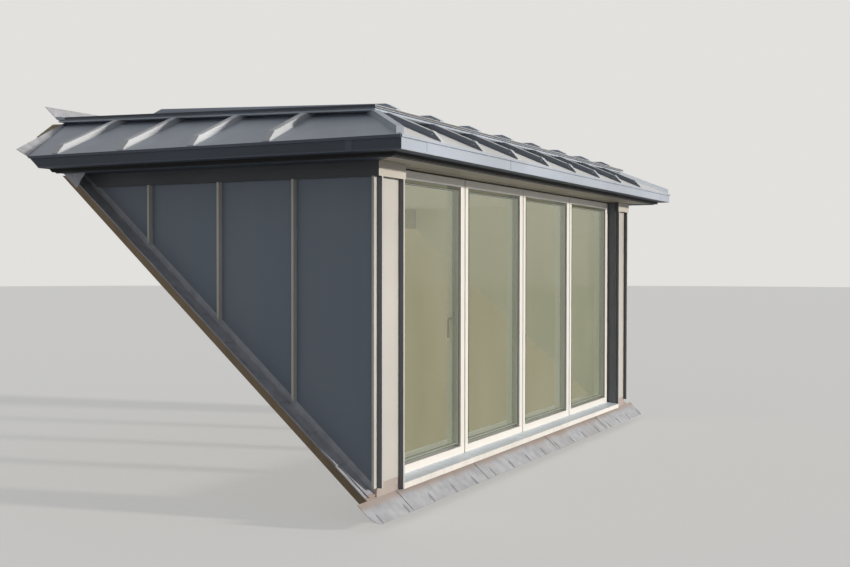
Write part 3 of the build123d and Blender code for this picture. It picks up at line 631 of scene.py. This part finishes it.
starts = [apronLow.x] + list(apron["laps"])
ends = [x + apron["lapWidth"] for x in apron["laps"]] + [apronHigh.x]
ease = apron["lapEase"] * apron["lapWidth"]
bm = bmesh.new()
for count, (start, end) in enumerate(zip(starts, ends)):
    columns = max(apron["leastColumns"], int((end - start) / apron["column"]))
    grid = bmesh.ops.create_grid(bm, x_segments=columns, y_segments=apron["rows"], size=0.5)["verts"]
    for vert in grid:
        x = start + (vert.co.x + 0.5) * (end - start)
        down = (0.5 - vert.co.y) * apronReach(x)
        over = clamp((start + apron["lapWidth"] + ease - x) / ease) if count else 0.0
        vert.co = offSlope(x, apronHead - down * cos(pitch), apronLift(x, down, over))
bmesh.ops.solidify(bm, geom=bm.faces[:], thickness=apron["sheet"])
apronPiece = finishPiece(bm, "leadApron", leadFinish)
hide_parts("lead_apron")

# the part of the apron turned up behind the sill and under the pilasters
upstand = {"inset": 0.004, "sheet": 0.003, "cornerSheet": 0.0035, "tuck": 0.002, "panelLift": 0.038,
           "panelLap": 0.020}
pilasterEdge = -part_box("left_pilaster")[1].x
panelFoot = onSlope(cladFront, upstand["panelLift"]) + upstand["panelLap"]
upstandFoot = onSlope(apronHead) - upstand["tuck"]
upstandEnd = cladSide - upstand["inset"]
bm = bmesh.new()
addBlock(bm, (-upstandEnd, apronHead - upstand["sheet"], upstandFoot), (upstandEnd, apronHead, apronHigh.z))
for side in (-1, 1):
    addSideBlock(bm, side, upstandEnd, pilasterEdge,
                 (apronHead - upstand["cornerSheet"], apronHigh.z), (apronHead, panelFoot))
finishPiece(bm, "leadUpstand", leadFinish, edge=0.0008)
print("lead apron made")

# stepped soakers at the feet of the cheeks
soaker = {"every": 0.205, "length": 0.262, "sheet": 0.0018, "tail": 0.0042, "wide": 0.083, "narrow": 0.058,
          "first": 0.01, "short": 0.04, "bed": 0.003, "tuck": 0.001}
soakerLow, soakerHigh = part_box("cheek_soakers")
soakerRun = (soakerHigh.y - soakerLow.y) / cos(pitch)
bm = bmesh.new()
for side in (-1, 1):
    for count in range(int(soakerRun / soaker["every"])):
        foot = soaker["first"] + count * soaker["every"]
        length = min(foot + soaker["length"], soakerRun - soaker["short"]) - foot
        width = soaker["wide"] if count % 2 else soaker["narrow"]
        for vert in addBlock(bm, (0, 0, 0), (width, length, soaker["sheet"])):
            lift = soaker["bed"] + soaker["tail"] * (1 - vert.co.y / length) + vert.co.z
            y = soakerLow.y + (foot + vert.co.y) * cos(pitch)
            vert.co = offSlope(side * (cladSide - soaker["tuck"] + vert.co.x), y, lift)
finishPiece(bm, "steppedSoakers", leadFinish, edge=0.0005)
print("soakers made")

# pleated lead flaps that close the rear ends of the eaves against the slope
flap = {"out": 0.120, "head": 1.5666, "rear": 1.690, "front": 1.545, "foot": (1.604, 1.492),
        "sheet": 0.0024, "cuts": 20, "pleats": 0.0018, "pleatFade": 0.02, "pleatTurns": (200, 40)}
bm = bmesh.new()
for side in (-1, 1):
    outline = ((flap["rear"], flap["head"]), (flap["front"], flap["head"]), flap["foot"])
    bm.faces.new([bm.verts.new((side * (cladSide + flap["out"]), y, z)) for y, z in outline])
bmesh.ops.subdivide_edges(bm, edges=bm.edges[:], cuts=flap["cuts"], use_grid_fill=True)
for vert in bm.verts:
    turn = vert.co.y * flap["pleatTurns"][0] + vert.co.z * flap["pleatTurns"][1]
    vert.co.x += sin(turn) * flap["pleats"] * clamp((flap["head"] - vert.co.z) / flap["pleatFade"])
bmesh.ops.solidify(bm, geom=bm.faces[:], thickness=flap["sheet"])
finishPiece(bm, "eavesFlaps", leadFinish)

# caps over the noses of the rolls on the skirts, each with two rivets
roll = {"width": 0.033, "height": 0.031, "tip": 0.005, "nose": 0.060, "drip": 0.007,
        "side": (0.338, 0.421, 4), "front": (-1.773, 0.451, 8)}  # place of the first, distance, count
cap = {"length": 0.074, "skin": 0.0009, "foot": 0.009, "footShort": 0.004,
       "rivet": 0.0042, "rivetIn": 0.006, "rivetUp": 0.55}
kerb = {"side": 1.815, "front": 0.003, "level": 1.7996}
skirtFall = radians(23.44)
rollLength = (-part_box("left_skirt")[0].x - kerb["side"]) / cos(skirtFall) - roll["drip"]


def addCap(bm, origin, outward):
    along = outward * cos(skirtFall) - Vector((0, 0, sin(skirtFall)))
    up = outward * sin(skirtFall) + Vector((0, 0, cos(skirtFall)))
    across = up.cross(along)
    half = roll["width"] / 2 + cap["skin"]
    top = roll["height"] + cap["skin"]
    tip = rollLength + cap["skin"]
    rear = rollLength - cap["length"]
    profile = ((rear, 0), (tip, 0), (tip, roll["tip"]),
               (rollLength - roll["nose"] + cap["skin"], top), (rear, top))
    outline = [origin + along * out + up * high - across * half for out, high in profile]
    face = bm.faces.new([bm.verts.new(point) for point in outline])
    grown = bmesh.ops.extrude_face_region(bm, geom=[face])["geom"]
    bmesh.ops.translate(bm, verts=vertsIn(grown), vec=across * half * 2)
    foot = addBlock(bm, (rear, -half - cap["foot"], 0),
                    (rollLength - cap["footShort"], half + cap["foot"], cap["skin"]))
    for vert in foot:
        vert.co = origin + along * vert.co.x + across * vert.co.y + up * vert.co.z
    for way in (-1, 1):
        dome = bmesh.ops.create_uvsphere(bm, u_segments=8, v_segments=5, radius=cap["rivet"])["verts"]
        centre = origin + along * (rollLength - roll["nose"] + cap["rivetIn"])
        centre = centre + up * roll["height"] * cap["rivetUp"]
        bmesh.ops.translate(bm, verts=dome, vec=centre + across * half * way)


bm = bmesh.new()
first, every, rolls = roll["side"]
for count in range(rolls):
    for side in (-1, 1):
        head = Vector((side * kerb["side"], first + every * count, kerb["level"]))
        addCap(bm, head, Vector((side, 0, 0)))
first, every, rolls = roll["front"]
for count in range(rolls):
    head = Vector((first + every * count, kerb["front"], kerb["level"]))
    addCap(bm, head, Vector((0, -1, 0)))
finishPiece(bm, "rollCaps", zincRollSunlit)
print("flaps and caps made")

# dark strip of painted shadow in the gap between the bright welts along the front edge of the top roof
welt = {"lowerEdge": 0.014, "foot": 0.0026, "web": 0.0075, "out": 0.0008, "inset": 0.004}
lidLow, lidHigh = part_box("top_roof")
webFoot = lidLow.z + welt["lowerEdge"] + welt["foot"]
bm = bmesh.new()
addBlock(bm, (lidLow.x + welt["inset"], lidLow.y - welt["out"], webFoot),
         (lidHigh.x - welt["inset"], lidLow.y, webFoot + welt["web"]))
finishPiece(bm, "topRoofGapShade", gapShadeBrown, edge=0.0003)

# side sheets of the top roof, folded down over its upper edge
lid = {"side": 1.880, "narrowing": 0.1007, "fall": 0.04366, "foot": 0.0148, "head": 0.0268, "rear": 2.02,
       "sheet": 0.0008}
bm = bmesh.new()
for side in (-1, 1):
    for vert in addBlock(bm, (0, lidLow.y, 0), (lid["sheet"], lid["rear"], 1)):
        run = vert.co.y - kerb["front"]
        level = kerb["level"] + run * lid["fall"] + (lid["head"] if vert.co.z > 0.5 else lid["foot"])
        vert.co = (side * (lid["side"] - run * lid["narrowing"] + vert.co.x), vert.co.y, level)
finishPiece(bm, "topRoofSideFold", zincVergeInShade)
print("top roof's edge made")
